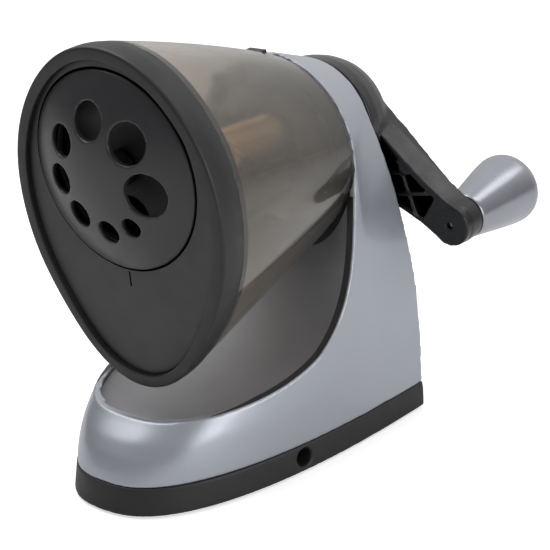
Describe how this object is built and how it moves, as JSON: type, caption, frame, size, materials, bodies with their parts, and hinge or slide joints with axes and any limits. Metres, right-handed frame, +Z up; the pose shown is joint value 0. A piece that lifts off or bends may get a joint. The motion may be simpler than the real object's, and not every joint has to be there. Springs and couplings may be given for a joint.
{
  "type": "crank pencil sharpener",
  "caption": "Table-top crank pencil sharpener with a size-select dial, a smoky pull-out bin over a planetary cutter head, and a silver arched housing on a black base.",
  "frame": {"origin": "on the table, under the middle of the base's length and width", "axes": "+Z up, the dial faces -Y, the crank stands out to +X at rest"},
  "size_m": [0.0984, 0.1556, 0.1367],
  "materials": {
    "black_base": "moulded, fine grain",
    "rubber": "matt",
    "silver_paint": "satin metallic",
    "grey_liner": "satin",
    "charcoal": "satin, fine grain",
    "dial_grey": "satin",
    "smoke": "polished smoky clear plastic",
    "arm_black": "gloss",
    "knob_silver": "satin metallic",
    "gold_coating": "hard coated, bright",
    "steel": "turned",
    "zinc": "die cast",
    "bronze": "sintered",
    "inner_black": "plain"
  },
  "bodies": {
    "stand": {"base_tray": "black_base", "rubber_feet": "rubber", "base_screws": "steel", "housing": "silver_paint", "cradle": "grey_liner", "bearing_bulkhead": "inner_black", "bulkhead_screws": "steel", "ring_gear": "zinc", "ring_gear_screws": "steel", "front_bush": "bronze", "rear_bush": "bronze"},
    "crank": {"drive_shaft": "steel", "head_spacer": "steel", "cutter_carrier": "inner_black", "cutter_pins": "steel", "crank_arm": "arm_black", "arm_screw": "steel", "crank_washer": "steel", "knob_spindle": "steel", "knob_washer": "steel"},
    "cutter_a": {"cutter_a": "gold_coating", "pinion_a": "steel"},
    "cutter_b": {"cutter_b": "gold_coating", "pinion_b": "steel"},
    "knob": {"knob": "knob_silver"},
    "bin": {"bin_shell": "smoke", "bezel": "charcoal", "face_plate": "charcoal", "pencil_guide": "inner_black", "detent_ball": "steel", "detent_spring": "steel"},
    "dial": {"dial": "dial_grey", "dial_washer": "steel", "dial_screw": "steel"},
    "latch": {"bin_latch": "inner_black"}
  },
  "joints": [
    {"name": "crank_turn", "type": "hinge", "parent": "stand", "child": "crank", "pos_m": [0, 0.04993, 0.09368], "axis": [0, 0.9943, 0.1063], "continuous": true},
    {"name": "cutter_a_spin", "type": "hinge", "parent": "crank", "child": "cutter_a", "pos_m": [0, 0.06236, 0.09501], "axis": [-0.1312, 0.9905, -0.0407], "continuous": true},
    {"name": "cutter_b_spin", "type": "hinge", "parent": "crank", "child": "cutter_b", "pos_m": [0, 0.06236, 0.09501], "axis": [0.1312, 0.9595, 0.2491], "continuous": true},
    {"name": "knob_spin", "type": "hinge", "parent": "crank", "child": "knob", "pos_m": [0.04722, 0.0759, 0.06712], "axis": [0, 0.9943, 0.1063], "continuous": true},
    {"name": "bin_pull", "type": "slide", "parent": "stand", "child": "bin", "axis": [0, -0.9943, -0.1063], "range_m": [0, 0.06]},
    {"name": "dial_turn", "type": "hinge", "parent": "bin", "child": "dial", "pos_m": [0, -0.04328, 0.10011], "axis": [0, -0.9943, -0.1063], "continuous": true},
    {"name": "latch_press", "type": "hinge", "parent": "bin", "child": "latch", "pos_m": [0, 0.00314, 0.11744], "axis": [-1, 0, 0], "range_deg": [0, 1.6], "stiffness_Nm_per_rad": 0.6}
  ],
  "couplings": [
    {"joint": "cutter_a_spin", "follows": "crank_turn", "ratio": -2.4},
    {"joint": "cutter_b_spin", "follows": "crank_turn", "ratio": -2.4}
  ]
}
